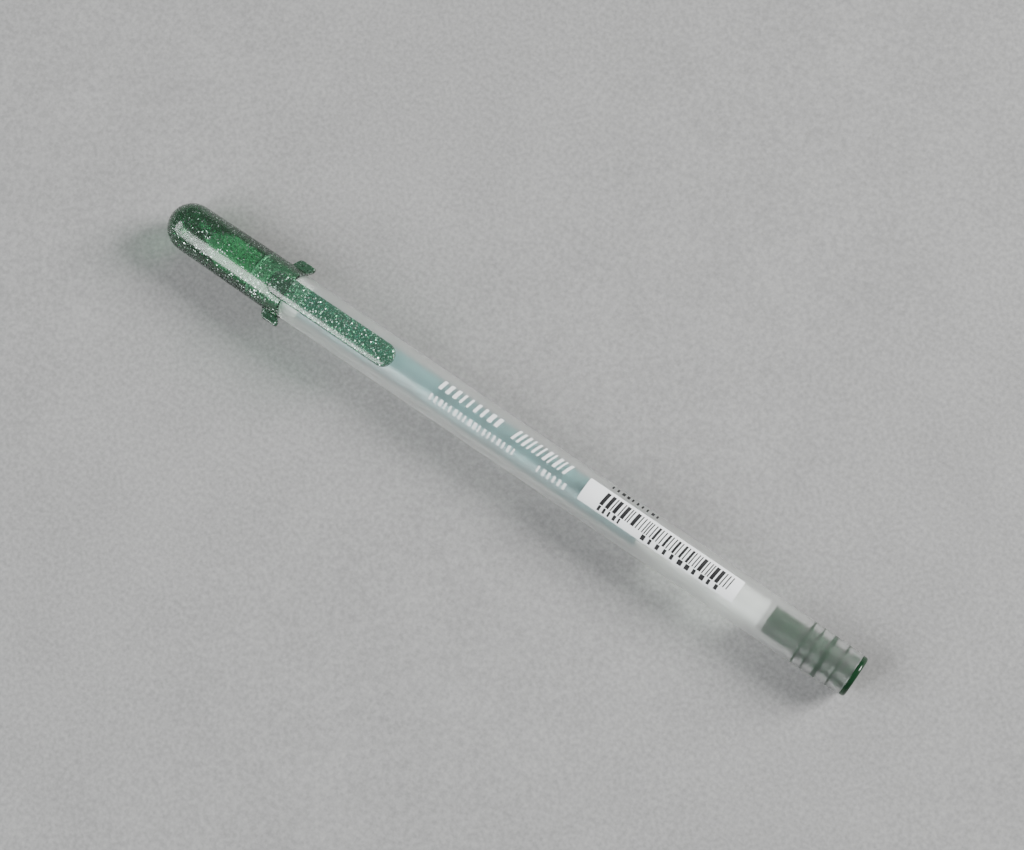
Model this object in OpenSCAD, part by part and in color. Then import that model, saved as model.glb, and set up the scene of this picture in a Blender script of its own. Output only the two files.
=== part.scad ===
// Capped gel pen with a translucent barrel, lying on its side.
// The pen's axis runs along +X: the cap's dome is at -X and the tail plug at +X.
// The pocket clip is on top, +Z, and the two anti-roll ears point to +Y and -Y.
// The origin is under the middle of the pen, on the surface that the cap's rim rests on.

/* [Pen] */
// Length of the capped pen, from the cap's dome to the face of the end plug
pen_length = 149; // [142:0.5:156]

/* [Barrel] */
// Outer radius of the barrel at the shoulder that the cap stops at
barrel_front_r = 4.54; // [4.48:0.01:4.62]
// Outer radius of the straight stretch at the tail
barrel_tail_r = 4.15; // [4.08:0.01:4.18]
// Outer radius of the barrel at its rear end
barrel_end_r = 4.04; // [3.98:0.01:4.08]
// Radius of the bore from end to end
barrel_bore_r = 3.4; // [3.2:0.01:3.45]
// Length of the neck that the cap slides over
neck_length = 7.3; // [6:0.1:8]
// Outer radius of the neck
neck_r = 4.12; // [4:0.01:4.14]
// Height of the bead around the neck that holds the cap
neck_bead = 0.05; // [0.02:0.01:0.05]

/* [Cap] */
// Length from the tip of the dome to the rim
cap_length = 27.7; // [26.5:0.1:28]
// Outer radius of the dome
cap_dome_r = 4.64; // [4.5:0.01:4.75]
// Outer radius at the rim
cap_rim_r = 4.86; // [4.8:0.01:5]
// Radius of the mouth that slides over the neck
cap_bore_r = 4.2; // [4.19:0.01:4.24]
// Radius of the hollow around the nose cone
cap_hollow_r = 3.75; // [3.65:0.01:3.9]

/* [Ears] */
// Distance from the pen's axis to the flat outer edge of an ear
ear_reach = 6.42; // [6:0.02:7]
// Thickness of an ear
ear_thickness = 1.1; // [0.8:0.1:1.4]
// Length of an ear along the cap
ear_length = 4.3; // [4:0.1:5]

/* [Clip] */
// Length of the clip from the start of its root to its round end
clip_length = 27.7; // [24:0.1:32]
// Width across the clip
clip_width = 4.5; // [4:0.1:5]
// Radius of the clip's arched top, about the pen's axis
clip_top_r = 6.25; // [6.1:0.01:6.4]
// Radius of the clip's hollow underside, about the pen's axis
clip_under_r = 5.02; // [4.95:0.01:5.1]

/* [Nose] */
// Distance from the cap's dome to the front of the writing ball
ball_front = 6.8; // [6.5:0.1:7.5]
// Radius of the writing ball
ball_r = 0.4; // [0.3:0.05:0.5]
// Radius of the straight part of the nose cone
nose_r = 3.4; // [3.2:0.01:3.45]

/* [Ink] */
// Outer radius of the ink tube
tube_r = 2.72; // [2.5:0.01:2.85]
// Wall of the ink tube
tube_wall = 0.5; // [0.3:0.05:0.6]
// Length of the ink column inside the tube
ink_length = 80.2; // [40:0.1:88]
// Length of the follower behind the ink
follower_length = 6; // [3:0.5:8]

/* [End plug] */
// Length of the plug inside the barrel
plug_length = 17; // [15:0.5:20]
// Radius of the flange that covers the end of the barrel
plug_flange_r = 3.92; // [3.8:0.01:4]
// Thickness of the flange
plug_flange = 1; // [0.8:0.1:1.4]

/* [Label] */
// Length of the label along the barrel
label_length = 32.3; // [20:0.1:34]
// Arc that the label covers around the barrel, in degrees
label_arc = 62; // [40:1:90]
// Angle of the label's middle from the clip, around the barrel, in degrees
label_turn = 7; // [-20:1:20]
// Height of the label's face above the barrel
label_thick = 0.1; // [0.06:0.01:0.12]

/* [Hidden] */
$fn = 96;
// Radial clearance of a part that slides in another
slide_gap = 0.03;
// Small gap between two pieces that sit still beside each other
seat_gap = 0.02;
// Overshoot of a cut past the face that it opens
cut = 1;

// Barrel, along the axis from the cap's dome
shoulder_x = cap_length + 0.2;
neck_x = shoulder_x - neck_length;
barrel_x1 = pen_length - plug_flange;
tail_x = pen_length - 22.5;
rings_x = pen_length - 11;
edge = 0.15;
bead_width = 1.2;
bead_x = shoulder_x - 3.6;

// Cap
step_x = neck_x - 0.7;
mouth_lead = 0.4;
ear_x1 = cap_length + 0.75;
ear_x0 = ear_x1 - ear_length;
ear_corner = 0.45;
ear_root = 0.45;
ear_front_slope = 0.95;
ear_rear_slope = 1.3;
ear_root_width = 0.1;

// Clip: its root is moulded on the cap, and the arm bends at the pivot
clip_x0 = cap_length - 4;
clip_x1 = clip_x0 + clip_length;
clip_ramp = 1.9;
pivot_x = cap_length + 0.3;
pivot_z = (clip_top_r + clip_under_r) / 2;
pivot_r = (clip_top_r - clip_under_r) / 2;
pivot_gap = 0.05;
bump_r = 0.5;
bump_drop = 0.28;
bump_x = clip_x1 - 2;
clip_sunk = 0.1;

// Nose cone, metal point and ball
ball_x = ball_front + ball_r;
point_x0 = ball_x - 0.3 * ball_r;
point_r = 1.13;
point_x1 = point_x0 + 1.5;
point_end = point_x0 + 8;
point_bore_r = 0.3;
ball_lip = 0.1;
nose_x0 = point_x1 + 0.4;
nose_front_r = 1.6;
nose_full_x = nose_x0 + 3.4;
nose_channel_r = 0.8;
nose_flange = 0.5;
nose_flange_r = neck_r - 0.07;
nose_shank_end = neck_x + 10.4;
socket_x = neck_x + 3.4;

// Ink tube, ink and follower
tube_x0 = socket_x + 0.5;
tube_x1 = pen_length - 19;
tube_bore_r = tube_r - tube_wall;
ink_x1 = tube_x0 + ink_length;
ink_gap = 0.1;
follower_x0 = ink_x1 + ink_gap;

// End plug
plug_x0 = barrel_x1 - plug_length;
plug_shank_r = 2.65;
plug_core_r = 2.9;
plug_rib_r = barrel_bore_r - seat_gap;
plug_hollow_r = 1.8;
plug_vent_r = 0.4;
plug_core = 10;
plug_seat = 1.8;
plug_floor = 1.5;
plug_bevel = 0.3;
// Distance of each rib's middle from the plug's face, and its width
plug_ribs = [[10.8, 0.7], [8.9, 0.6], [6.5, 1.2], [3.8, 0.7]];

// Label
label_x0 = pen_length - 56.8;
label_x1 = label_x0 + label_length;

// Row frame
axis_z = cap_rim_r;

// Outer radius of the barrel's tapered stretch at x
function barrel_r(x) =
    barrel_front_r + (barrel_tail_r - barrel_front_r) * (x - shoulder_x) / (tail_x - shoulder_x);

// Puts the pen's axis where it belongs in the row frame
module place() translate([-pen_length / 2, 0, axis_z]) children();

// Turns a shape that stands on +Z so that it lies along +X, starting at x
module along_x(x = 0) translate([x, 0, 0]) rotate([0, 90, 0]) children();

// Round bar along the axis from x0 to x1, with radius r0 at x0 and r1 at x1
module bar(x0, x1, r0, r1) along_x(x0) cylinder(h = x1 - x0, r1 = r0, r2 = r1);

// Solid turned about the axis from an outline of [radius, x] points
module turned(outline) along_x() rotate_extrude() polygon(outline);

module barrel() color("#c9cdc6") place() difference() {
    turned([
        [0, neck_x],
        [neck_r - edge, neck_x],
        [neck_r, neck_x + edge],
        [neck_r, bead_x - bead_width / 2],
        [neck_r + neck_bead, bead_x - bead_width / 4],
        [neck_r + neck_bead, bead_x + bead_width / 4],
        [neck_r, bead_x + bead_width / 2],
        [neck_r, shoulder_x],
        [barrel_front_r - edge, shoulder_x],
        [barrel_front_r, shoulder_x + edge],
        [barrel_tail_r, tail_x],
        [barrel_tail_r, rings_x],
        [barrel_end_r, barrel_x1 - edge],
        [barrel_end_r - edge, barrel_x1],
        [0, barrel_x1]
    ]);
    bar(neck_x - cut, barrel_x1 + cut, barrel_bore_r, barrel_bore_r);
}

module nose_cone() color("#dfe4dc") place() difference() {
    union() {
        bar(nose_x0, nose_full_x, nose_front_r, nose_r);
        bar(nose_full_x, neck_x - nose_flange, nose_r, nose_r);
        bar(neck_x - nose_flange, neck_x, nose_flange_r, nose_flange_r);
        bar(neck_x, nose_shank_end, barrel_bore_r - slide_gap, barrel_bore_r - slide_gap);
    }
    bar(nose_x0 - cut, point_end, point_r + seat_gap, point_r + seat_gap);
    bar(point_end - cut, socket_x + cut, nose_channel_r, nose_channel_r);
    bar(socket_x, nose_shank_end + cut, tube_r + seat_gap, tube_r + seat_gap);
}

module metal_point() color("#b9b7ac") place() difference() {
    union() {
        bar(point_x0, point_x1, ball_r + ball_lip, point_r);
        bar(point_x1, point_end, point_r, point_r);
    }
    translate([ball_x, 0, 0]) sphere(r = ball_r + seat_gap);
    bar(ball_x, point_end + cut, point_bore_r, point_bore_r);
}

module writing_ball() color("#8d8d8d") place() translate([ball_x, 0, 0]) sphere(r = ball_r);

module ink_tube() color("#e9ede6") place() difference() {
    bar(tube_x0, tube_x1, tube_r, tube_r);
    bar(tube_x0 - cut, tube_x1 + cut, tube_bore_r, tube_bore_r);
}

module gel_ink() color("#1d5f57") place() union() {
    bar(ball_x + ball_r + ink_gap, point_end, point_bore_r - seat_gap, point_bore_r - seat_gap);
    bar(point_end, tube_x0, nose_channel_r - seat_gap, nose_channel_r - seat_gap);
    bar(tube_x0, ink_x1, tube_bore_r - seat_gap, tube_bore_r - seat_gap);
}

module ink_follower() color("#cfd8b8") place()
    bar(follower_x0, follower_x0 + follower_length, tube_bore_r - slide_gap, tube_bore_r - slide_gap);

module end_plug() color("#14503d") place() difference() {
    union() {
        bar(plug_x0, barrel_x1, plug_shank_r, plug_shank_r);
        bar(barrel_x1 - plug_core, barrel_x1, plug_core_r, plug_core_r);
        for (rib = plug_ribs)
            bar(pen_length - rib[0] - rib[1] / 2, pen_length - rib[0] + rib[1] / 2,
                plug_rib_r, plug_rib_r);
        bar(barrel_x1 - plug_seat, barrel_x1, plug_rib_r, plug_rib_r);
        bar(barrel_x1, pen_length - plug_bevel, plug_flange_r, plug_flange_r);
        bar(pen_length - plug_bevel, pen_length, plug_flange_r, plug_flange_r - plug_bevel);
    }
    bar(plug_x0 - cut, barrel_x1 - plug_floor, plug_hollow_r, plug_hollow_r);
    bar(barrel_x1 - plug_floor - cut, pen_length + cut, plug_vent_r, plug_vent_r);
}

// Plan of the clip from x0 to x1, with round ends, seen from above
module clip_plan(x0, x1) {
    r = clip_width / 2;
    translate([x0 + r, -r]) square([x1 - x0 - clip_width, clip_width]);
    for (x = [x0 + r, x1 - r]) translate([x, 0]) circle(r = r);
}

// The clip's plan raised through the height between the pen's axis and above its top
module clip_column() linear_extrude(height = clip_top_r + cut) clip_plan(clip_x0, clip_x1);

// Root of the clip, moulded on the cap
module clip_root() intersection() {
    clip_column();
    union() {
        bar(clip_x0, clip_x0 + clip_ramp, cap_rim_r - clip_sunk, clip_top_r);
        bar(clip_x0 + clip_ramp, cap_length, clip_top_r, clip_top_r);
    }
}

// Cylinder along Y on the line that the clip's arm bends about
module pivot_bar(r) translate([pivot_x, 0, pivot_z]) rotate([90, 0, 0])
    cylinder(h = clip_width + 2 * cut, r = r, center = true);

// Ear on the +Y side of the cap, seen from above and raised to its thickness
module ear() linear_extrude(height = ear_thickness, center = true) hull() {
    translate([ear_x0, cap_rim_r - ear_root])
        square([ear_length - ear_rear_slope, ear_root_width]);
    translate([ear_x0 + ear_front_slope + ear_corner, ear_reach - ear_corner])
        circle(r = ear_corner, $fn = 32);
    translate([ear_x1 - ear_corner, ear_reach - ear_corner]) circle(r = ear_corner, $fn = 32);
}

module cap_shell() color("#1c5845") place() difference() {
    union() {
        translate([cap_dome_r, 0, 0]) sphere(r = cap_dome_r);
        bar(cap_dome_r, cap_length, cap_dome_r, cap_rim_r);
        ear();
        mirror([0, 1, 0]) ear();
        clip_root();
    }
    translate([cap_dome_r, 0, 0]) sphere(r = cap_hollow_r);
    bar(cap_dome_r, step_x + cut, cap_hollow_r, cap_hollow_r);
    bar(step_x, ear_x1 + cut, cap_bore_r, cap_bore_r);
    bar(cap_length - mouth_lead, cap_length + 0.01, cap_bore_r, cap_bore_r + 0.2);
    pivot_bar(pivot_r + pivot_gap);
}

module pocket_clip() color("#226450") place() {
    difference() {
        intersection() {
            clip_column();
            bar(clip_x0, clip_x1, clip_top_r, clip_top_r);
            union() {
                pivot_bar(pivot_r);
                translate([pivot_x, -clip_width, 0]) cube([clip_length, 2 * clip_width, clip_top_r + cut]);
            }
        }
        bar(clip_x0 - cut, clip_x1 + cut, clip_under_r, clip_under_r);
    }
    translate([bump_x, 0, clip_under_r - bump_drop + bump_r]) rotate([90, 0, 0])
        cylinder(h = clip_width / 2, r = bump_r, center = true);
}

// Sticker that follows the barrel's taper through part of a turn, a glue line above it
module label() color("#f2f3ee") place()
    along_x() rotate([0, 0, 180 - label_turn - label_arc / 2]) rotate_extrude(angle = label_arc)
        polygon([
            [barrel_r(label_x0) + seat_gap, label_x0],
            [barrel_r(label_x0) + label_thick, label_x0],
            [barrel_r(label_x1) + label_thick, label_x1],
            [barrel_r(label_x1) + seat_gap, label_x1]
        ]);

barrel();
nose_cone();
metal_point();
writing_ball();
ink_tube();
gel_ink();
ink_follower();
end_plug();
cap_shell();
pocket_clip();
label();
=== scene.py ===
"""Looks of a capped gel pen: green glitter cap and clip, frosted barrel, ink tube, end plug and label.

Lengths along the pen and radii are in millimetres, measured from the cap's dome and from the pen's
axis, as in the CAD part. at() turns them into the row frame, in metres.
"""
import math
import random

import bmesh
import bpy
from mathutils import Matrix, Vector


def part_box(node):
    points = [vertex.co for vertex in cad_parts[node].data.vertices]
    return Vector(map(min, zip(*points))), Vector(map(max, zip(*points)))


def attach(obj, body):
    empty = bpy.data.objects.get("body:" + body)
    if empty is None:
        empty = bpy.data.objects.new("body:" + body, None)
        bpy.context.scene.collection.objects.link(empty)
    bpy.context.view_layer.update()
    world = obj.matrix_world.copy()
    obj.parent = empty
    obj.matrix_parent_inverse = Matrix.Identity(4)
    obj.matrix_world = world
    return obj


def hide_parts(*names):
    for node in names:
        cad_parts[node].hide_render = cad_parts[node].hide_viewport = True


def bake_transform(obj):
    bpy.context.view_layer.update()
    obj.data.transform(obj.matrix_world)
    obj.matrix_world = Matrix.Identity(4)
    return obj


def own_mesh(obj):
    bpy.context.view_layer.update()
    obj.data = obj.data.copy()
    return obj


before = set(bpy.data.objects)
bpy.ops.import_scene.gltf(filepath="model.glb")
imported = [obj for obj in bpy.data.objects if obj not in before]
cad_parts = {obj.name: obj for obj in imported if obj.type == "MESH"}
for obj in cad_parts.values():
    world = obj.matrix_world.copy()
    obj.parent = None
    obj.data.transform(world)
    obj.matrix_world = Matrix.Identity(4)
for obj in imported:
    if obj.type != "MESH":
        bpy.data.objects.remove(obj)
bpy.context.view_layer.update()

MM = 0.001
SEGMENTS = 160
SHARP = math.radians(38)
ON_AXIS = 1e-6
SEED = 11

DOME_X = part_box("cap_shell")[0].x
TAIL_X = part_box("end_plug")[1].x
AXIS_Z = (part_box("barrel")[0].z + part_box("barrel")[1].z) / 2
PEN = (TAIL_X - DOME_X) / MM


def row_mm(x):
    """Distance from the dome, in millimetres, of a row-frame x."""
    return (x - DOME_X) / MM


def at(x, across=0.0, up=0.0):
    """Row-frame place of a point x from the dome, across the pen towards +Y and up from its axis."""
    return Vector((DOME_X + x * MM, across * MM, AXIS_Z + up * MM))


def around(x, radius, angle):
    """Row-frame place of a point at an angle from the clip's side, turning towards +Y."""
    return at(x, radius * math.sin(angle), radius * math.cos(angle))


# ---------------------------------------------------------------- sizes, most of them read from the frame
EAR_OVERHANG = 0.75
RIM = row_mm(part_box("cap_shell")[1].x) - EAR_OVERHANG
SHOULDER = RIM + 0.2
NECK = SHOULDER - 7.3
NECK_R = 4.12
BARREL_END = row_mm(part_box("barrel")[1].x)
FRONT_R = (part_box("barrel")[1].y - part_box("barrel")[0].y) / MM / 2
TAIL_R = 4.15
TAIL_REST = 138.0
TAPER_END = PEN - 22.5
BORE_R = 3.4
TUBE_R = 2.72
TUBE_BORE_R = 2.24
INK_R = 2.25
POINT_R = 1.13
SOCKET_R = 1.16
FEED_R = 0.3
EAR_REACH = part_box("cap_shell")[1].y / MM
CLIP_END = row_mm(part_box("pocket_clip")[1].x)
CLIP_TOP = (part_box("pocket_clip")[1].z - AXIS_Z) / MM
CLIP_HALF = (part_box("pocket_clip")[1].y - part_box("pocket_clip")[0].y) / MM / 2
LABEL = [row_mm(c.x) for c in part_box("label")]
TUBE = [row_mm(c.x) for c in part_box("ink_tube")]
INK_END = row_mm(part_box("gel_ink")[1].x)
FOLLOWER = [row_mm(c.x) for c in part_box("ink_follower")]
PLUG_FRONT = row_mm(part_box("end_plug")[0].x)
POINT_TIP = row_mm(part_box("metal_point")[0].x)


# ---------------------------------------------------------------- meshes
def soften(outline, closed, steps=4):
    """Outline points (x, radius, fillet) with every corner that has a fillet rounded."""
    points = []
    count = len(outline)
    for i, corner in enumerate(outline):
        here = Vector(corner[:2])
        fillet = corner[2] if len(corner) > 2 else 0.0
        ends = not closed and i in (0, count - 1)
        if ends or fillet <= 0:
            points.append(here)
            continue
        back = Vector(outline[i - 1][:2]) - here
        ahead = Vector(outline[(i + 1) % count][:2]) - here
        a = here + back.normalized() * min(fillet, back.length * 0.48)
        b = here + ahead.normalized() * min(fillet, ahead.length * 0.48)
        for k in range(steps + 1):
            t = k / steps
            points.append(a * (1 - t) ** 2 + here * 2 * t * (1 - t) + b * t ** 2)
    return points


def finish_mesh(name, bm):
    """A smooth-shaded object from bm, with its sharp edges kept."""
    bmesh.ops.recalc_face_normals(bm, faces=bm.faces)
    for face in bm.faces:
        face.smooth = True
    for edge in bm.edges:
        edge.smooth = not (len(edge.link_faces) == 2 and edge.calc_face_angle(0) > SHARP)
    mesh = bpy.data.meshes.new(name)
    bm.to_mesh(mesh)
    bm.free()
    obj = bpy.data.objects.new(name, mesh)
    bpy.context.scene.collection.objects.link(obj)
    return obj


def lathe_into(bm, outline, closed):
    """Adds the solid that the outline turns about the pen's axis."""
    rings = []
    turn = [2 * math.pi * k / SEGMENTS for k in range(SEGMENTS)]
    for x, radius in soften(outline, closed):
        if radius < ON_AXIS:
            rings.append([bm.verts.new(at(x))])
        else:
            rings.append([bm.verts.new(around(x, radius, a)) for a in turn])
    following = rings[1:] + (rings[:1] if closed else [])
    for ring, other in zip(rings, following):
        for k in range(SEGMENTS):
            n = (k + 1) % SEGMENTS
            if len(ring) == 1:
                bm.faces.new((ring[0], other[k], other[n]))
            elif len(other) == 1:
                bm.faces.new((ring[k], other[0], ring[n]))
            else:
                bm.faces.new((ring[k], other[k], other[n], ring[n]))


def lathe(name, outline, closed=True):
    """An object turned from the outline; an open outline starts and ends on the axis."""
    bm = bmesh.new()
    lathe_into(bm, outline, closed)
    return finish_mesh(name, bm)


def barrel_radius(x):
    """Outer radius of the barrel behind its shoulder."""
    share = min(max((x - SHOULDER) / (TAPER_END - SHOULDER), 0.0), 1.0)
    return FRONT_R + (TAIL_R - FRONT_R) * share


def loft(bm, rings, cap_ends=True):
    """Joins closed rings of points one after another, and fills the first and last."""
    built = [[bm.verts.new(p) for p in ring] for ring in rings]
    count = len(built[0])
    for ring, other in zip(built, built[1:]):
        for k in range(count):
            n = (k + 1) % count
            bm.faces.new((ring[k], other[k], other[n], ring[n]))
    if cap_ends:
        bm.faces.new(built[0])
        bm.faces.new(list(reversed(built[-1])))


def curved_patch(bm, x0, x1, a0, a1, lift, thick, lean=0.0):
    """Adds a thin closed patch of print that follows the barrel between two angles, in degrees."""
    degrees_a_step = 3
    steps = max(2, int(abs(a1 - a0) / degrees_a_step) + 1)
    rings = []
    for k in range(steps + 1):
        angle = math.radians(a0 + (a1 - a0) * k / steps)
        shift = lean * (k / steps - 0.5)
        left, right = x0 + shift, x1 + shift
        under_left, under_right = barrel_radius(left) + lift, barrel_radius(right) + lift
        rings.append([around(left, under_left, angle), around(left, under_left + thick, angle),
                      around(right, under_right + thick, angle), around(right, under_right, angle)])
    loft(bm, rings)


# ---------------------------------------------------------------- node helpers
class Nodes:
    """Short names for building the node tree of one material."""

    def __init__(self, name):
        self.material = bpy.data.materials.new(name)
        self.material.use_nodes = True
        self.tree = self.material.node_tree
        self.tree.nodes.clear()
        self.output = self.add("ShaderNodeOutputMaterial")

    def add(self, kind, **settings):
        node = self.tree.nodes.new(kind)
        for key, value in settings.items():
            setattr(node, key, value)
        return node

    def link(self, source, target):
        self.tree.links.new(source, target)

    def coords(self):
        return self.add("ShaderNodeTexCoord").outputs["Object"]

    def principled(self, **values):
        node = self.add("ShaderNodeBsdfPrincipled")
        for key, value in values.items():
            node.inputs[key.replace("_", " ")].default_value = value
        return node

    def noise(self, scale, detail=3.0, stretch=None):
        node = self.add("ShaderNodeTexNoise")
        node.inputs["Scale"].default_value = scale
        node.inputs["Detail"].default_value = detail
        source = self.coords()
        if stretch:
            mapping = self.add("ShaderNodeMapping")
            mapping.inputs["Scale"].default_value = stretch
            self.link(source, mapping.inputs["Vector"])
            source = mapping.outputs["Vector"]
        self.link(source, node.inputs["Vector"])
        return node.outputs["Fac"]

    def cells(self, scale):
        node = self.add("ShaderNodeTexVoronoi")
        node.inputs["Scale"].default_value = scale
        self.link(self.coords(), node.inputs["Vector"])
        return node

    def math(self, operation, a, b=0.0):
        node = self.add("ShaderNodeMath", operation=operation)
        for socket, value in zip(node.inputs, (a, b)):
            if isinstance(value, (int, float)):
                socket.default_value = value
            else:
                self.link(value, socket)
        return node.outputs[0]

    def span(self, value, low, high, to_low=0.0, to_high=1.0):
        node = self.add("ShaderNodeMapRange")
        self.link(value, node.inputs["Value"])
        node.inputs["From Min"].default_value = low
        node.inputs["From Max"].default_value = high
        node.inputs["To Min"].default_value = to_low
        node.inputs["To Max"].default_value = to_high
        return node.outputs["Result"]

    def mix_colour(self, factor, a, b):
        node = self.add("ShaderNodeMix", data_type="RGBA")
        self.link(factor, node.inputs["Factor"])
        for name, value in (("A", a), ("B", b)):
            socket = [s for s in node.inputs if s.name == name and s.type == "RGBA"][0]
            if isinstance(value, tuple):
                socket.default_value = value
            else:
                self.link(value, socket)
        return [s for s in node.outputs if s.type == "RGBA"][0]

    def bump(self, height, strength, distance):
        node = self.add("ShaderNodeBump")
        node.inputs["Strength"].default_value = strength
        node.inputs["Distance"].default_value = distance
        self.link(height, node.inputs["Height"])
        return node.outputs["Normal"]

    def mix_shader(self, factor, a, b):
        node = self.add("ShaderNodeMixShader")
        self.link(factor, node.inputs[0])
        self.link(a, node.inputs[1])
        self.link(b, node.inputs[2])
        return node.outputs[0]

    def lit_through(self, shader, tint):
        """Lets the lamps' light through, tinted, so that what is inside is lit."""
        clear = self.add("ShaderNodeBsdfTransparent")
        clear.inputs["Color"].default_value = tint
        path = self.add("ShaderNodeLightPath").outputs["Is Shadow Ray"]
        return self.mix_shader(path, shader, clear.outputs[0])

    def done(self, shader):
        self.link(shader, self.output.inputs["Surface"])
        return self.material


def rgb(red, green, blue):
    return (red, green, blue, 1.0)


def scaled(colour, factor, limit=None):
    """The colour with its three channels multiplied, and held under a limit."""
    channels = tuple(c * factor for c in colour[:3])
    if limit is not None:
        channels = tuple(min(c, limit) for c in channels)
    return channels + (1.0,)


# ---------------------------------------------------------------- materials
def moulded(name, colour, spread, rough, grain=900.0, relief=0.00001, tint=None, **extra):
    """Moulded plastic: slight colour variation, roughness that wanders, and a fine surface grain."""
    n = Nodes(name)
    shader = n.principled(**extra)
    dark = scaled(colour, 1 - spread)
    light = scaled(colour, 1 + spread, 1.0)
    tone = n.span(n.noise(170.0), 0.35, 0.65)
    n.link(n.mix_colour(tone, dark, light), shader.inputs["Base Color"])
    wander = n.span(n.noise(420.0), 0.3, 0.7, rough * 0.88, rough * 1.15)
    n.link(wander, shader.inputs["Roughness"])
    if relief:
        n.link(n.bump(n.noise(grain), 0.25, relief), shader.inputs["Normal"])
    return n.done(n.lit_through(shader.outputs[0], tint) if tint else shader.outputs[0])


FLECK_LAYERS = ((1850.0, 0.27), (2600.0, 0.27))  # cells in a metre, and a fleck's radius in a cell


def fleck_layer(n, shader, light_fleck, amount, scale, size):
    """Lays a layer of metal flecks at random angles over a shader."""
    cells = n.cells(scale)
    parts = n.add("ShaderNodeSeparateColor")
    n.link(cells.outputs["Color"], parts.inputs[0])
    near = n.math("LESS_THAN", cells.outputs["Distance"], size)
    kept = n.math("LESS_THAN", parts.outputs[0], amount)
    mask = n.math("MULTIPLY", near, kept)
    tilt = n.add("ShaderNodeVectorMath", operation="SUBTRACT")
    n.link(cells.outputs["Color"], tilt.inputs[0])
    tilt.inputs[1].default_value = (0.5, 0.5, 0.5)
    facing = n.add("ShaderNodeVectorMath", operation="ADD")
    n.link(tilt.outputs[0], facing.inputs[0])
    n.link(n.add("ShaderNodeNewGeometry").outputs["Normal"], facing.inputs[1])
    unit = n.add("ShaderNodeVectorMath", operation="NORMALIZE")
    n.link(facing.outputs[0], unit.inputs[0])
    fleck = n.principled(Metallic=1.0, Roughness=0.34, Coat_Weight=1.0, Coat_Roughness=0.17,
                         Coat_IOR=1.47)
    shade = n.math("POWER", parts.outputs[1], 1.8)
    dull = tuple(c * c * 0.25 for c in light_fleck[:3]) + (1.0,)
    n.link(n.mix_colour(shade, dull, light_fleck), fleck.inputs["Base Color"])
    n.link(unit.outputs[0], fleck.inputs["Normal"])
    return n.mix_shader(mask, shader, fleck.outputs[0])


def glitter(name, colour, light_fleck, amount, transmission, tint, absorbed, density):
    """Clear tinted plastic full of small metal flecks that lie at random angles under its gloss."""
    n = Nodes(name)
    body = n.principled(Roughness=0.17, IOR=1.47, Transmission_Weight=transmission,
                        Coat_Weight=0.2, Coat_Roughness=0.22)
    tone = n.span(n.noise(260.0), 0.35, 0.65)
    n.link(n.mix_colour(tone, scaled(colour, 0.86), colour), body.inputs["Base Color"])
    shader = body.outputs[0]
    for scale, size in FLECK_LAYERS:
        shader = fleck_layer(n, shader, light_fleck, amount, scale, size)
    inside = n.add("ShaderNodeVolumeAbsorption")
    inside.inputs["Color"].default_value = absorbed
    inside.inputs["Density"].default_value = density
    n.link(inside.outputs[0], n.output.inputs["Volume"])
    return n.done(n.lit_through(shader, tint))


def metal(name, colour, rough):
    """Turned metal with fine rings around its axis."""
    n = Nodes(name)
    shader = n.principled(Metallic=1.0, IOR=1.6)
    tone = n.span(n.noise(700.0, stretch=(6.0, 1.0, 1.0)), 0.3, 0.7)
    n.link(n.mix_colour(tone, scaled(colour, 0.85), colour), shader.inputs["Base Color"])
    n.link(n.span(n.noise(500.0), 0.3, 0.7, rough * 0.8, rough * 1.3), shader.inputs["Roughness"])
    rings = n.noise(1.0, 2.0, stretch=(9000.0, 40.0, 40.0))
    n.link(n.bump(rings, 0.3, 0.00001), shader.inputs["Normal"])
    return n.done(shader.outputs[0])


def floor_material():
    """Pale grey table top with a fine mottled grain."""
    n = Nodes("floor_grey")
    shader = n.principled(Roughness=0.85, Specular_IOR_Level=0.25)
    fine = n.span(n.noise(1300.0, 2.0), 0.25, 0.75)
    broad = n.span(n.noise(60.0, 3.0), 0.25, 0.75)
    both = n.math("ADD", n.math("MULTIPLY", fine, 0.75), n.math("MULTIPLY", broad, 0.25))
    n.link(n.mix_colour(both, rgb(0.236, 0.238, 0.238), rgb(0.374, 0.376, 0.373)),
           shader.inputs["Base Color"])
    n.link(n.bump(n.noise(900.0), 0.2, 0.0001), shader.inputs["Normal"])
    return n.done(shader.outputs[0])


FROSTED = moulded("frosted_barrel", rgb(0.97, 0.98, 0.97), 0.02, 0.33, relief=0.0,
                  tint=rgb(0.57, 0.59, 0.58), Transmission_Weight=0.965, IOR=1.49,
                  Sheen_Weight=0.9, Sheen_Roughness=0.15)
BORE = moulded("barrel_bore", rgb(0.98, 0.99, 0.98), 0.01, 0.15, relief=0.0,
               tint=rgb(0.95, 0.96, 0.95), Transmission_Weight=0.98, IOR=1.49)
NOSE = moulded("nose_milky", rgb(0.84, 0.87, 0.84), 0.04, 0.35, 1500.0, 0.000005,
               Transmission_Weight=0.1, IOR=1.49)
SLEEVE = moulded("nose_sleeve", rgb(0.84, 0.87, 0.84), 0.04, 0.35, relief=0.0,
                 tint=rgb(0.80, 0.81, 0.80), Transmission_Weight=0.8, IOR=1.49)
TUBE_CLEAR = moulded("tube_clear", rgb(0.96, 0.97, 0.96), 0.01, 0.12, 900.0, 0.000003,
                     tint=rgb(0.93, 0.94, 0.93), Transmission_Weight=1.0, IOR=1.49)
TUBE_HAZE = moulded("tube_haze", rgb(0.76, 0.77, 0.77), 0.02, 0.25, relief=0.0,
                    tint=rgb(0.80, 0.81, 0.80), Transmission_Weight=0.45, IOR=1.49)
INK = moulded("ink_teal", rgb(0.115, 0.25, 0.26), 0.22, 0.35, 800.0, 0.000004,
              Metallic=0.35)
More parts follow.
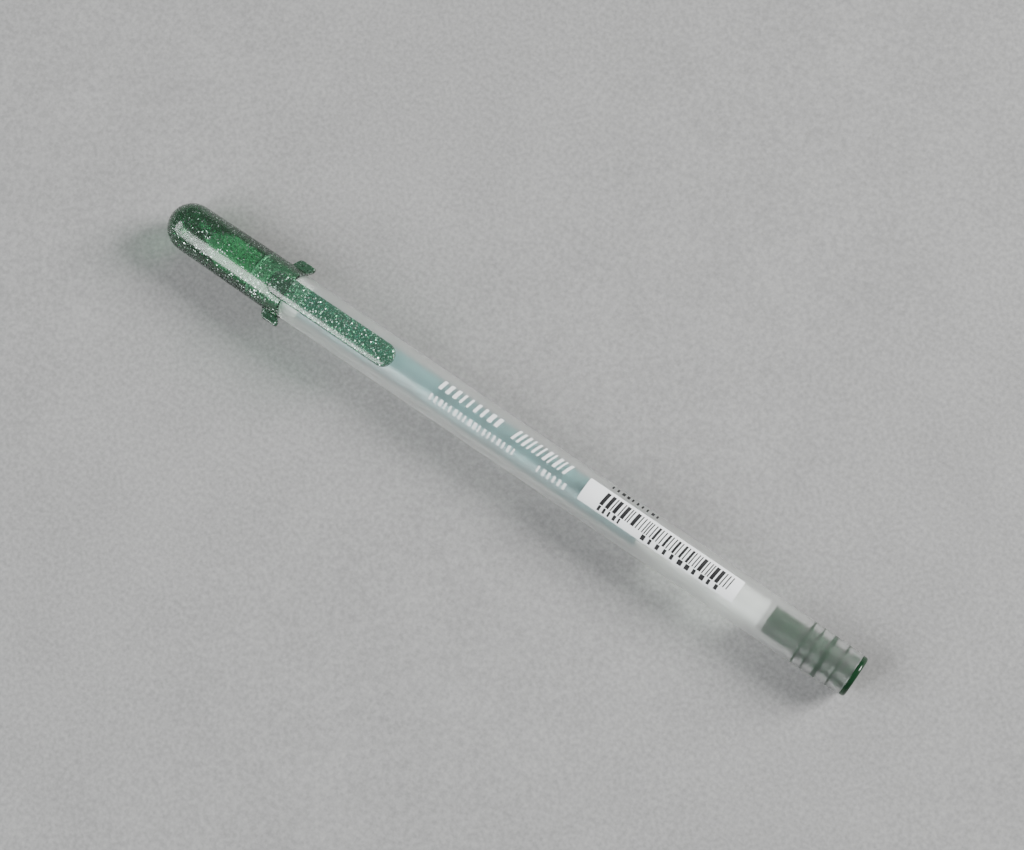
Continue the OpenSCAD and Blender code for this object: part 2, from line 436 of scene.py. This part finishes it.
FOLLOWER_GEL = moulded("follower_gel", rgb(0.86, 0.88, 0.72), 0.04, 0.10, 500.0, 0.000004,
                       Transmission_Weight=0.8, IOR=1.45)
PLUG_GREEN = moulded("plug_green", rgb(0.001, 0.022, 0.007), 0.15, 0.5, 1300.0, 0.000004,
                     Specular_IOR_Level=0.1)
FLANGE_GREEN = moulded("flange_green", rgb(0.007, 0.036, 0.014), 0.15, 0.17, 1300.0, 0.000004,
                       Specular_IOR_Level=0.4)
LABEL_FILM = moulded("label_film", rgb(0.92, 0.95, 0.96), 0.02, 0.45, 1800.0, 0.000003)
PRINT_BLACK = moulded("print_black", rgb(0.008, 0.008, 0.009), 0.3, 0.5, 2500.0, 0.000003)
PRINT_WHITE = moulded("print_white", rgb(0.88, 0.90, 0.90), 0.03, 0.45, 2500.0, 0.000003)
CAP_GREEN = glitter("cap_glitter", rgb(0.50, 0.70, 0.58), rgb(0.86, 1.0, 0.93), 0.62, 0.975,
                    rgb(0.78, 0.82, 0.80), rgb(0.37, 0.66, 0.50), 2000.0)
CLIP_GREEN = glitter("clip_glitter", rgb(0.30, 0.50, 0.40), rgb(0.78, 0.97, 0.87), 0.95, 0.92,
                     rgb(0.75, 0.85, 0.80), rgb(0.389, 0.66, 0.511), 1000.0)
POINT_METAL = metal("point_metal", rgb(0.72, 0.70, 0.64), 0.25)
BALL_METAL = metal("ball_metal", rgb(0.45, 0.45, 0.46), 0.15)


def dress(obj, material, body, slot, *nodes):
    """Gives a new piece its material and its body, and hides the CAD nodes that it stands for; slot is not
    used.
    """
    obj.data.materials.append(material)
    if body:
        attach(obj, body)
    if nodes:
        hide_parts(*nodes)
    return obj


def line_bore(obj, radius, material, start=-1.0):
    """Gives the faces of a bore, or every face behind start, their own material."""
    obj.data.materials.append(material)
    for face in obj.data.polygons:
        middle = face.center
        off_axis = math.hypot(middle.y, middle.z - AXIS_Z)
        if off_axis < (radius + 0.03) * MM and row_mm(middle.x) > start:
            face.material_index = 1
    return obj


# ---------------------------------------------------------------- barrel
def make_barrel():
    """Frosted tube with its neck, bead, shoulder and taper, and a clear bore."""
    bead, bead_r = SHOULDER - 3.6, 4.17
    end_r = 4.04
    outline = [
        (NECK, BORE_R, 0.1), (NECK, NECK_R, 0.2), (bead - 0.6, NECK_R, 0.2), (bead - 0.2, bead_r, 0.2),
        (bead + 0.2, bead_r, 0.2), (bead + 0.6, NECK_R, 0.2), (SHOULDER, NECK_R, 0.05),
        (SHOULDER, FRONT_R, 0.2), (TAPER_END, TAIL_R, 3.0), (PEN - 11, TAIL_R, 2.0),
        (BARREL_END, end_r, 0.2), (BARREL_END, BORE_R, 0.1),
    ]
    barrel = lathe("barrel_tube", outline)
    dress(barrel, FROSTED, "pen_barrel", "barrel_plastic", "barrel")
    return line_bore(barrel, BORE_R, BORE)


# ---------------------------------------------------------------- refill
def make_nose():
    """Milky cone, flange and shank, with holes for the point and the ink tube."""
    front, cone_r = POINT_TIP + 1.9, 3.4
    flange, flange_r = NECK - 0.5, 4.05
    shank, shank_r = NECK + 10.4, 3.37
    tube_seat, tube_hole_r = NECK + 3.4, 2.75
    point_seat, feed_hole_r = POINT_TIP + 8, 0.8
    outline = [
        (front, SOCKET_R, 0.1), (front, 1.6, 0.25), (front + 3.4, cone_r, 0.8), (flange, cone_r, 0.1),
        (flange, flange_r, 0.1), (NECK, flange_r, 0.1), (NECK, shank_r, 0.05), (shank, shank_r, 0.2),
        (shank, tube_hole_r, 0.1), (tube_seat, tube_hole_r, 0.05), (tube_seat, feed_hole_r, 0.05),
        (point_seat, feed_hole_r), (point_seat, SOCKET_R),
    ]
    nose = dress(lathe("nose_cone_body", outline), NOSE, "refill", "nose_plastic", "nose_cone")
    return line_bore(nose, cone_r, SLEEVE, NECK + 1.0)


def make_point():
    """Turned metal point with a groove and a bore for the ink."""
    tip = POINT_TIP
    outline = [
        (tip, 0.40, 0.02), (tip, 0.50, 0.06), (tip + 1.5, POINT_R, 0.3), (tip + 2.6, POINT_R),
        (tip + 2.7, POINT_R - 0.05, 0.04), (tip + 2.8, POINT_R), (tip + 8, POINT_R, 0.1),
        (tip + 8, FEED_R), (tip + 0.62, FEED_R, 0.05),
    ]
    return dress(lathe("point_body", outline), POINT_METAL, "refill", "point_metal", "metal_point")


def make_tube():
    """Clear tube with a hazy bore."""
    outline = [
        (TUBE[0], TUBE_BORE_R, 0.1), (TUBE[0], TUBE_R, 0.15), (TUBE[1], TUBE_R, 0.15),
        (TUBE[1], TUBE_BORE_R, 0.1),
    ]
    tube = dress(lathe("tube_body", outline), TUBE_CLEAR, "refill", "tube_plastic", "ink_tube")
    return line_bore(tube, TUBE_BORE_R, TUBE_HAZE)


def make_ink():
    """Ink in the point, and the column in the tube, built at its full length; in the pen it shortens as it
    is used.
    """
    tip, seat, start = POINT_TIP + 1.1, POINT_TIP + 8, TUBE[0]
    thin_r, thick_r = FEED_R - 0.03, 0.77
    feed = [
        (tip, 0.0), (tip, thin_r, 0.05), (seat, thin_r), (seat, thick_r, 0.1),
        (start - 0.05, thick_r, 0.1), (start - 0.05, 0.0),
    ]
    dress(lathe("ink_feed", feed, closed=False), INK, "refill", "ink")
    length, parts, left = INK_END - start, 8, 0.2
    column = [(start, 0.0), (start, INK_R, 0.3)]
    column += [(start + length * k / parts, INK_R) for k in range(1, parts)]
    column += [(INK_END, INK_R, 0.05), (INK_END, 0.0)]
    ink = dress(lathe("ink_column", column, closed=False), INK, "refill", "ink", "gel_ink")
    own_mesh(ink)


def make_follower():
    """Grease behind the ink, hollow at its back."""
    front, back = FOLLOWER
    radius = TUBE_BORE_R - 0.05
    outline = [
        (front, 0.0), (front, radius, 0.05), (back, radius, 0.1), (back - 0.5, 1.5, 0.5),
        (back - 0.8, 0.0),
    ]
    shape = lathe("follower_gel_body", outline, closed=False)
    return dress(shape, FOLLOWER_GEL, "follower", "follower_gel", "ink_follower")


# ---------------------------------------------------------------- end plug
def make_plug():
    """Hollow plug with four ribs, a flange over the end of the barrel and a vent."""
    ribs = ((10.8, 0.7), (8.9, 0.6), (6.5, 1.2), (3.8, 0.7))
    hollow_r, front_r, stem_r, rib_r, seat_r = 1.8, 2.65, 2.9, 3.41, 3.38
    flange_r, chamfer, hole_r = 3.92, 0.3, 0.4
    floor_x = BARREL_END - 1.5
    outline = [(PLUG_FRONT, hollow_r, 0.1), (PLUG_FRONT, front_r, 0.3), (PEN - 11.3, front_r, 0.1)]
    for place, width in ribs:
        x0, x1 = PEN - place - width / 2, PEN - place + width / 2
        outline += [(x0, stem_r, 0.05), (x0 + 0.1, rib_r, 0.12)]
        outline += [(x1 - 0.1, rib_r, 0.12), (x1, stem_r, 0.05)]
    outline += [
        (BARREL_END - 1.8, stem_r, 0.1), (BARREL_END - 1.75, seat_r, 0.1), (BARREL_END, seat_r, 0.05),
        (BARREL_END, flange_r, 0.12), (PEN - chamfer, flange_r, 0.25), (PEN, flange_r - chamfer, 0.25),
        (PEN, hole_r, 0.08), (floor_x, hole_r, 0.05), (floor_x, hollow_r, 0.1),
    ]
    plug = dress(lathe("plug_body", outline), PLUG_GREEN, "plug", "plug_plastic", "end_plug")
    return line_bore(plug, flange_r + 0.08, FLANGE_GREEN, BARREL_END + 0.01)


# ---------------------------------------------------------------- cap
def ear_ring(height, inset):
    """Outline of an ear seen from above, at a height, drawn in from its edge."""
    length, slope, root_length, root_y = 4.3, 0.95, 3.05, 4.42
    back = RIM + EAR_OVERHANG
    front = back - length
    reach = EAR_REACH - inset
    corners = [
        (front + inset, root_y, 0.0), (front + slope + inset, reach, 0.6), (back - inset, reach, 0.5),
        (back - inset, EAR_REACH - slope, 0.6), (front + root_length, root_y, 0.0),
    ]
    return [(x, y, height) for x, y in soften(corners, closed=True, steps=6)]


def ear_mesh(side):
    """One ear as its own solid, with rounded upper and lower edges, on the +Y side (1) or -Y side (-1)."""
    bm = bmesh.new()
    edge, half, steps = 0.28, 0.55, 4
    turns = [math.pi / 2 * k / steps for k in range(steps + 1)]
    upper = [(half - edge * (1 - math.sin(t)), edge * (1 - math.cos(t))) for t in turns]
    profile = [(-h, i) for h, i in reversed(upper)] + upper
    rings = [[at(x, y * side, z) for x, y, z in ear_ring(h, i)] for h, i in profile]
    loft(bm, rings)
    return finish_mesh("ear_tool", bm)


def merged(base, tools):
    """base with the tools joined to it as one solid."""
    for tool in tools:
        modifier = base.modifiers.new("join", "BOOLEAN")
        modifier.operation = "UNION"
        modifier.solver = "EXACT"
        modifier.object = tool
    bpy.context.view_layer.update()
    evaluated = base.evaluated_get(bpy.context.evaluated_depsgraph_get())
    result = bpy.data.meshes.new_from_object(evaluated)
    name = base.name
    for obj in [base] + tools:
        bpy.data.objects.remove(obj)
    bm = bmesh.new()
    bm.from_mesh(result)
    bmesh.ops.remove_doubles(bm, verts=bm.verts, dist=1e-6)
    return finish_mesh(name, bm)


def make_cap():
    """Round-ended shell with a step in its bore, and both ears joined on."""
    dome, hollow, rim_r, mouth_r = 4.64, 3.75, 4.86, 4.2
    lead, step = 0.4, NECK - 0.7
    arc = [math.pi / 2 * k / 24 for k in range(1, 25)]
    outline = [(0.0, 0.0)]
    outline += [(dome - dome * math.cos(a), dome * math.sin(a)) for a in arc]
    outline += [(RIM, rim_r, 0.25), (RIM, mouth_r + 0.2, 0.1), (RIM - lead, mouth_r, 0.1),
                (step, mouth_r, 0.1), (step, hollow, 0.15)]
    outline += [(dome - hollow * math.cos(a), hollow * math.sin(a)) for a in reversed(arc)]
    outline += [(dome - hollow, 0.0)]
    shell = lathe("cap_body", outline, closed=False)
    cap = merged(shell, [ear_mesh(1), ear_mesh(-1)])
    return dress(cap, CAP_GREEN, "cap", "cap_plastic", "cap_shell")


# ---------------------------------------------------------------- clip
CLIP_START = RIM - 4.0
CLIP_RAMP = 1.1
ROOT_TOP = 4.74
ROOT_UNDER = 4.5
UNDER_R = 5.02
CLIP_CROWN = 4.8
BUMP_DROP = 0.28


def clip_top(x):
    """Radius of the clip's top about the pen's axis: it climbs out of the cap at its root."""
    share = min(max((x - CLIP_START) / CLIP_RAMP, 0.0), 1.0)
    return ROOT_TOP + (CLIP_TOP - ROOT_TOP) * (1 - (1 - share) ** 2)


def clip_under(x, across):
    """Radius of the underside: inside the cap's wall at the root, clear of the barrel beyond it."""
    share = min(max((x - RIM + 0.05) / 0.3, 0.0), 1.0)
    radius = ROOT_UNDER + (UNDER_R - ROOT_UNDER) * share * share * (3 - 2 * share)
    bump_x, half_long, half_wide = CLIP_END - 2.0, 0.45, 0.9
    bump = math.exp(-((x - bump_x) / half_long) ** 2 - (across / half_wide) ** 4)
    return radius - BUMP_DROP * bump


def clip_plan():
    """Points around the clip seen from above, each with its nearest point on the middle line."""
    r = CLIP_HALF
    x0, x1 = CLIP_START + r, CLIP_END - r
    steps, turns = 70, 20
    plan = []
    for k in range(steps):
        x = x0 + (x1 - x0) * k / steps
        plan.append(((x, r), (x, 0.0)))
    for k in range(turns):
        a = math.pi / 2 - math.pi * k / turns
        plan.append(((x1 + r * math.cos(a), r * math.sin(a)), (x1, 0.0)))
    for k in range(steps):
        x = x1 + (x0 - x1) * k / steps
        plan.append(((x, -r), (x, 0.0)))
    for k in range(turns):
        a = -math.pi / 2 - math.pi * k / turns
        plan.append(((x0 + r * math.cos(a), r * math.sin(a)), (x0, 0.0)))
    return plan


def make_clip():
    """Arched strip with rounded edges, from inside the cap's wall at its root to its round end."""
    bm = bmesh.new()
    plan = clip_plan()
    edge = 0.22
    under_edge = 0.6
    inner = [0.0, 0.25, 0.5, 0.7, 0.82]
    rounding = [math.pi / 2 * k / 5 for k in range(6)]
    shares = [(t, 0.0) for t in inner]
    shares += [(1 - edge / CLIP_HALF * (1 - math.sin(a)), edge * (1 - math.cos(a))) for a in rounding]

    def ring(share, drop, top):
        points = []
        for (px, py), (sx, sy) in plan:
            x, y = sx + (px - sx) * share, sy + (py - sy) * share
            under = clip_under(x, y)
            thick = clip_top(x) - under
            fall = min(drop, thick * 0.4)
            radius = clip_top(x) - fall if top else under + fall
            crown = CLIP_CROWN if top else radius
            points.append(at(x, y, radius - crown + math.sqrt(crown * crown - y * y)))
        return points

    rings = [ring(t, d, True) for t, d in shares]
    rings += [ring(t, d * under_edge, False) for t, d in reversed(shares)]
    loft(bm, rings, cap_ends=False)
    bmesh.ops.remove_doubles(bm, verts=bm.verts, dist=1e-7)
    bmesh.ops.dissolve_degenerate(bm, edges=bm.edges, dist=1e-7)
    clip = finish_mesh("clip_body", bm)
    dress(clip, CLIP_GREEN, None, "cap_plastic", "pocket_clip")
    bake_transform(clip)
    return clip


# ---------------------------------------------------------------- label and print
LABEL_MIDDLE = 7.0
LABEL_ARC = 62.0
LABEL_R = 4.3
LABEL_GLUE = 0.02
LABEL_FACE = 0.085
ON_LABEL = 0.087
ON_BARREL = 0.004
INK_THICK = 0.012


def make_label():
    """Thin film with rounded corners that follows the barrel's taper."""
    bm = bmesh.new()
    corner, corner_steps = 0.2, 6
    along, across = 20, 28
    x0, x1 = LABEL
    arc = [corner * (1 - math.cos(math.pi / 2 * k / corner_steps)) for k in range(corner_steps)]
    places = [x0 + into for into in arc]
    places += [x0 + corner + (x1 - x0 - 2 * corner) * k / along for k in range(along + 1)]
    places += [x1 - into for into in reversed(arc)]
    rings = []
    for x in places:
        into = max(corner - (x - x0), corner - (x1 - x), 0.0)
        cut = corner - math.sqrt(max(corner * corner - into * into, 0.0))
        half = math.radians(LABEL_ARC / 2) - cut / LABEL_R
        turn = [math.radians(LABEL_MIDDLE) - half + 2 * half * k / across for k in range(across + 1)]
        radius = barrel_radius(x)
        outer = [around(x, radius + LABEL_FACE, a) for a in turn]
        lower = [around(x, radius + LABEL_GLUE, a) for a in reversed(turn)]
        rings.append(outer + lower)
    loft(bm, rings)
    dress(finish_mesh("label_body", bm), LABEL_FILM, "pen_barrel", "label_film", "label")


def mark_row(bm, draw, x0, x1, a0, a1, pitch, lift, lean=0.0):
    """A row of plain dashes of one height and mixed widths."""
    for k in range(int((x1 - x0) / pitch)):
        left = x0 + k * pitch
        width = pitch * draw.uniform(0.3, 0.62)
        curved_patch(bm, left, left + width, a0, a1, lift, INK_THICK, lean)


def make_label_print():
    """Plain upright bars of mixed widths, as a generic stand-in for a printed code."""
    bm = bmesh.new()
    draw = random.Random(SEED)
    start, end = LABEL[0] + 3.9, LABEL[1] - 1.9
    widths, gaps, bar_thick = (0.22, 0.22, 0.45, 0.7), (0.25, 0.32, 0.45), 0.010
    x = start
    while x < end:
        width = draw.choice(widths)
        curved_patch(bm, x, min(x + width, end), -5.0, 30.0, ON_LABEL, bar_thick, lean=0.25)
        x += width + draw.choice(gaps)
    mark_row(bm, draw, start, LABEL[0] + 15.2, 50.0, 64.0, 1.03, ON_BARREL)
    mark_row(bm, draw, start, LABEL[0] + 10.2, -20.0, -7.0, 1.05, ON_LABEL)
    mark_row(bm, draw, LABEL[0] + 13.0, LABEL[1] - 1.5, -20.0, -7.0, 1.52, ON_LABEL)
    dress(finish_mesh("label_bars", bm), PRINT_BLACK, "pen_barrel", "label_film")


def make_barrel_print():
    """Rows of dashes in white, where a printed name would be."""
    bm = bmesh.new()
    draw = random.Random(SEED + 1)
    mark_row(bm, draw, 60.8, 75.7, 8.0, 34.0, 1.5, ON_BARREL, lean=0.3)
    mark_row(bm, draw, 76.8, 89.4, 6.0, 37.0, 1.1, ON_BARREL, lean=0.7)
    mark_row(bm, draw, 60.2, 79.3, -26.0, -10.0, 1.05, ON_BARREL)
    mark_row(bm, draw, 83.4, 90.8, -26.0, -10.0, 1.1, ON_BARREL)
    dress(finish_mesh("barrel_marks", bm), PRINT_WHITE, "pen_barrel", "barrel_plastic")


def dress_cad():
    """The ball keeps its CAD shape and gets its own metal."""
    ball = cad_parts["writing_ball"]
    ball.data.materials.clear()
    ball.data.materials.append(BALL_METAL)


# ---------------------------------------------------------------- stage
def make_floor():
    """A table top that touches the cap's rim and the barrel's tail, as the pen lies on it."""
    rest_front, rest_back = at(RIM), at(TAIL_REST)
    rise = AXIS_Z - TAIL_R * MM
    slope = rise / (rest_back.x - rest_front.x)
    bm = bmesh.new()
    size = 2.0
    corners = [(-size, -size), (size, -size), (size, size), (-size, size)]
    bm.faces.new([bm.verts.new((x, y, slope * (x - rest_front.x))) for x, y in corners])
    floor = finish_mesh("floor", bm)
    floor.data.materials.append(floor_material())


LAMP_DISTANCE = 1.2


def area_light(name, way, width, length, power, colour):
    """A rectangular lamp aimed at the pen, with its length across the pen's axis."""
    light = bpy.data.lights.new(name, "AREA")
    light.shape = "RECTANGLE"
    light.size = width
    light.size_y = length
    light.energy = power
    light.color = colour
    obj = bpy.data.objects.new(name, light)
    way = Vector(way).normalized()
    tall = way.cross(Vector((1, 0, 0))).normalized()
    basis = obj.matrix_world.copy()
    for i, axis in enumerate((tall.cross(way), tall, way)):
        basis.col[i] = (*axis, 0.0)
    basis.col[3] = (*(way * LAMP_DISTANCE), 1.0)
    obj.matrix_world = basis
    bpy.context.scene.collection.objects.link(obj)


def make_lights():
    """A key lamp, a broad strip, a narrow lamp for the highlight on the cap, and a dim even sky."""
    area_light("key", (0.58, 0.66, 0.49), 0.46, 0.46, 31.0, (1.0, 0.985, 0.97))
    area_light("strip", (-0.68, -0.49, 0.54), 0.50, 0.90, 11.0, (0.985, 0.995, 1.0))
    area_light("gloss", (-0.34, -0.70, 0.60), 0.24, 0.85, 8.6, (0.985, 0.995, 1.0))
    world = bpy.data.worlds.new("world")
    world.use_nodes = True
    sky = world.node_tree.nodes["Background"]
    sky.inputs["Color"].default_value = rgb(0.95, 0.97, 1.0)
    sky.inputs["Strength"].default_value = 0.13
    bpy.context.scene.world = world


def make_camera():
    """Camera above the pen, turned so that the pen runs down to the right."""
    eye = Vector((68.1, -32.0, 370.5)) * MM
    target = Vector((0.1, 2.9, 4.86)) * MM
    turn = math.radians(34.04)
    forward = (target - eye).normalized()
    along = (Vector((1, 0, 0)) - forward * forward.x).normalized()
    down = forward.cross(along)
    down = -down if down.y > 0 else down
    right = along * math.cos(turn) - down * math.sin(turn)
    up = -(along * math.sin(turn) + down * math.cos(turn))
    camera = bpy.data.cameras.new("camera")
    camera.lens = 73.83
    camera.sensor_width = 36.0
    camera.clip_start = 0.01
    obj = bpy.data.objects.new("camera", camera)
    basis = obj.matrix_world.copy()
    for i, axis in enumerate((right, up, -forward)):
        basis.col[i] = (*axis, 0.0)
    basis.col[3] = (*eye, 1.0)
    obj.matrix_world = basis
    bpy.context.scene.collection.objects.link(obj)
    bpy.context.scene.camera = obj


make_camera()
make_lights()
make_floor()
make_barrel()
make_nose()
make_point()
make_tube()
make_ink()
make_follower()
make_plug()
make_cap()
make_clip()
make_label()
make_label_print()
make_barrel_print()
dress_cad()
